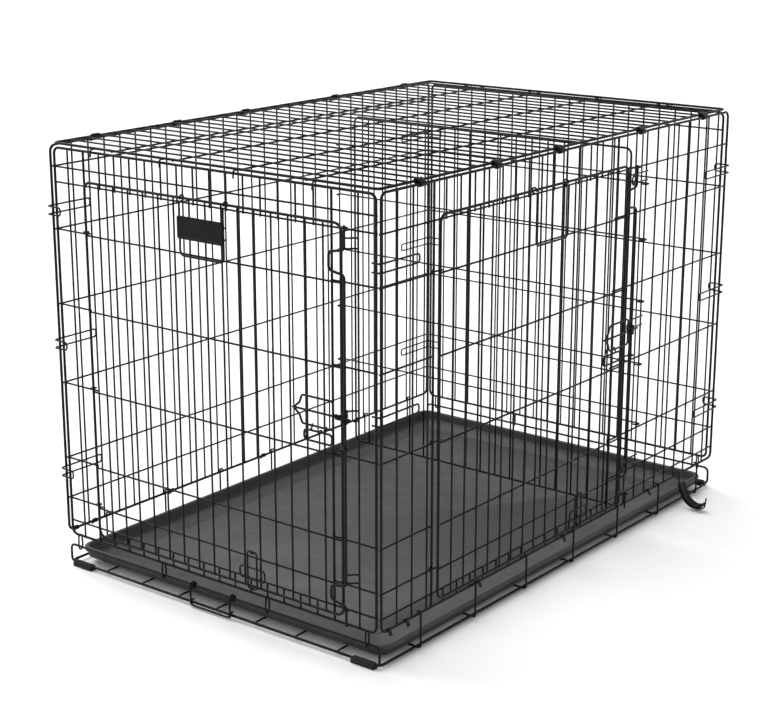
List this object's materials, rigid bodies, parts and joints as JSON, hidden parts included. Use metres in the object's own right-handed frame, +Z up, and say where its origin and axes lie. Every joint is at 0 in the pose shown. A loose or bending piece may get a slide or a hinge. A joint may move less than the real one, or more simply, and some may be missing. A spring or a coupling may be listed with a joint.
{
  "type": "wire dog crate",
  "caption": "Folding wire dog crate: front and side doors with cranked-rod latches, a removable divider, a slide-in tray, rubber feet and a carry handle.",
  "frame": {"origin": "centre of the crate's box at the floor it stands on", "axes": "+Z up; -X is the front end with its door; -Y is the near long side with its door"},
  "size_m": [1.102, 0.7866, 0.7684],
  "materials": {
    "black_wire": "glossy black dip-coated steel wire",
    "tray_plastic": "dark grey moulded plastic, fine grain",
    "black_plastic": "black moulded plastic, satin",
    "rubber_feet": "black rubber, matt"
  },
  "bodies": {
    "crate": {"divider_panel": "black_wire", "far_side_panel": "black_wire", "floor_panel": "black_wire", "foot_front_left": "rubber_feet", "foot_front_right": "rubber_feet", "foot_rear_left": "rubber_feet", "foot_rear_right": "rubber_feet", "near_side_panel": "black_wire", "top_clip_far_1": "black_wire", "top_clip_far_2": "black_wire", "top_clip_far_3": "black_wire", "top_clip_far_4": "black_wire", "top_clip_far_5": "black_wire", "top_clip_near_1": "black_wire", "top_clip_near_2": "black_wire", "top_clip_near_3": "black_wire", "top_clip_near_4": "black_wire", "top_clip_near_5": "black_wire", "top_panel": "black_wire"},
    "front_panel": {"front_panel": "black_wire"},
    "rear_panel": {"rear_panel": "black_wire"},
    "front_door": {"front_door": "black_wire", "front_finger_loop": "black_wire"},
    "side_door": {"side_door": "black_wire", "side_finger_loop": "black_wire"},
    "front_latch": {"front_latch_rod": "black_wire", "front_latch_paddle": "black_wire"},
    "side_latch": {"side_latch_rod": "black_wire", "side_latch_paddle": "black_wire"},
    "front_catch": {"front_bottom_catch": "black_wire"},
    "side_catch": {"side_bottom_catch": "black_wire"},
    "front_bail": {"front_bail": "black_wire", "nameplate": "black_plastic"},
    "side_bail": {"side_bail": "black_wire"},
    "tray": {"tray": "tray_plastic"},
    "tray_stop": {"tray_stop": "black_wire"},
    "carry_handle": {"carry_handle_grip": "black_plastic", "carry_handle_wire": "black_wire"}
  },
  "joints": [
    {"name": "front_panel_fold", "type": "hinge", "parent": "crate", "child": "front_panel", "pos_m": [-0.52681, 0.03, 0.039], "axis": [0, -1, 0], "range_deg": [-65, 0]},
    {"name": "rear_panel_fold", "type": "hinge", "parent": "crate", "child": "rear_panel", "pos_m": [0.54019, 0.03, 0.039], "axis": [0, 1, 0], "range_deg": [-22, 0]},
    {"name": "front_door_swing", "type": "hinge", "parent": "front_panel", "child": "front_door", "pos_m": [-0.52681, 0.305, 0.39], "axis": [0, 0, -1], "range_deg": [0, 105]},
    {"name": "side_door_swing", "type": "hinge", "parent": "crate", "child": "side_door", "pos_m": [-0.39731, -0.3255, 0.39], "axis": [0, 0, -1], "range_deg": [0, 105]},
    {"name": "front_latch_lift", "type": "slide", "parent": "front_door", "child": "front_latch", "axis": [0, 0, 1], "range_m": [0, 0.024]},
    {"name": "side_latch_lift", "type": "slide", "parent": "side_door", "child": "side_latch", "axis": [0, 0, 1], "range_m": [0, 0.024]},
    {"name": "front_catch_lift", "type": "slide", "parent": "front_door", "child": "front_catch", "axis": [0, 0, 1], "range_m": [0, 0.02]},
    {"name": "side_catch_lift", "type": "slide", "parent": "side_door", "child": "side_catch", "axis": [0, 0, 1], "range_m": [0, 0.02]},
    {"name": "front_bail_swing", "type": "hinge", "parent": "front_door", "child": "front_bail", "pos_m": [-0.53381, 0.03, 0.705], "axis": [0, 1, 0], "range_deg": [0, 100]},
    {"name": "side_bail_swing", "type": "hinge", "parent": "side_door", "child": "side_bail", "pos_m": [-0.08681, -0.3325, 0.705], "axis": [-1, 0, 0], "range_deg": [0, 100]},
    {"name": "tray_stop_swing", "type": "hinge", "parent": "crate", "child": "tray_stop", "pos_m": [-0.52681, 0.0355, 0.039], "axis": [0, 1, 0], "range_deg": [0, 110]},
    {"name": "tray_slide", "type": "slide", "parent": "crate", "child": "tray", "axis": [-1, 0, 0], "range_m": [0, 0.018]},
    {"name": "carry_handle_swing", "type": "hinge", "parent": "crate", "child": "carry_handle", "pos_m": [0.40519, -0.3255, 0.064], "axis": [-1, 0, 0], "range_deg": [0, 80]}
  ]
}
